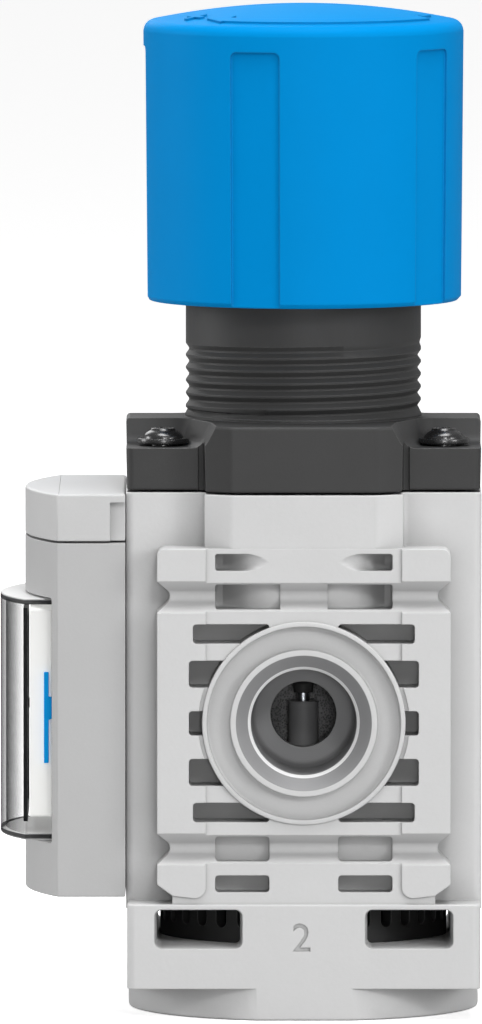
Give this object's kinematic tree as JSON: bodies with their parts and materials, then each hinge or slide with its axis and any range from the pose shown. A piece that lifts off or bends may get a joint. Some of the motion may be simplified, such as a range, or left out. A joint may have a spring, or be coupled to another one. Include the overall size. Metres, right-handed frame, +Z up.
{
  "type": "pressure regulator valve",
  "caption": "Compressed air pressure regulator with a rotary knob, a threaded neck, a ported die cast body and a built on pressure gauge.",
  "frame": {"origin": "on the knob's axis, at the flat underside of the base plug", "axes": "+Z up along the knob's axis, -Y out of the outlet port, +Y out of the inlet port, -X towards the gauge's window"},
  "size_m": [0.057, 0.04, 0.1191],
  "materials": {
    "cast_grey": "powder coated die casting, satin light grey",
    "black_plastic": "glass filled plastic, satin black",
    "blue_plastic": "moulded plastic, satin blue",
    "black_steel": "black oxide steel, semi gloss",
    "zinc_steel": "bright zinc plated steel",
    "brass": "turned brass, satin",
    "black_rubber": "moulded rubber, matte black",
    "white_plastic": "moulded plastic, satin white",
    "clear_plastic": "clear moulded plastic, glossy"
  },
  "bodies": {
    "housing": {"housing": "cast_grey", "bonnet": "black_plastic", "bonnet_screw_1": "black_steel", "bonnet_screw_2": "black_steel", "bonnet_screw_3": "black_steel", "bonnet_screw_4": "black_steel", "lock_ring": "zinc_steel", "thrust_washer": "brass", "main_spring": "zinc_steel", "diaphragm": "black_rubber", "stem_guide": "black_plastic", "valve_seat": "brass", "valve_spring": "zinc_steel", "base_plug": "black_plastic", "plug_seal": "black_rubber", "gauge_housing": "cast_grey", "gauge_cap": "cast_grey", "gauge_window": "clear_plastic", "gauge_dial": "white_plastic", "gauge_bezel": "black_plastic", "set_marker": "blue_plastic", "gauge_nipple": "brass", "gauge_seal": "black_rubber", "pressure_tube": "brass"},
    "spindle": {"spindle": "zinc_steel"},
    "knob": {"knob": "blue_plastic"},
    "spring_plate": {"spring_plate": "brass"},
    "diaphragm_stack": {"diaphragm_plate": "zinc_steel", "diaphragm_washer": "brass"},
    "valve": {"poppet": "black_plastic", "poppet_seal": "black_rubber", "valve_pin": "zinc_steel"},
    "needle": {"gauge_needle": "black_plastic"}
  },
  "joints": [
    {"name": "knob_turn", "type": "hinge", "parent": "housing", "child": "spindle", "pos_m": [0, 0, 0.1], "axis": [0, 0, 1], "range_deg": [-1440, 0]},
    {"name": "knob_pull", "type": "slide", "parent": "spindle", "child": "knob", "axis": [0, 0, 1], "range_m": [0, 0.0032]},
    {"name": "plate_travel", "type": "slide", "parent": "housing", "child": "spring_plate", "axis": [0, 0, 1], "range_m": [-0.0061, 0], "deforming": ["main_spring"]},
    {"name": "diaphragm_travel", "type": "slide", "parent": "housing", "child": "diaphragm_stack", "axis": [0, 0, 1], "range_m": [-0.0012, 0], "stiffness_N_per_m": 600, "springref_m": 0.002, "deforming": ["diaphragm"]},
    {"name": "valve_travel", "type": "slide", "parent": "housing", "child": "valve", "axis": [0, 0, 1], "range_m": [-0.0013, 0.0001], "deforming": ["valve_spring"]},
    {"name": "needle_turn", "type": "hinge", "parent": "housing", "child": "needle", "pos_m": [-0.03239, 0, 0.03603], "axis": [1, 0, 0], "range_deg": [0, 270], "stiffness_Nm_per_rad": 0.0005}
  ],
  "couplings": [
    {"joint": "plate_travel", "follows": "knob_turn", "m_per_rad": 0.00023873},
    {"joint": "valve_travel", "follows": "diaphragm_travel", "ratio": 1}
  ]
}
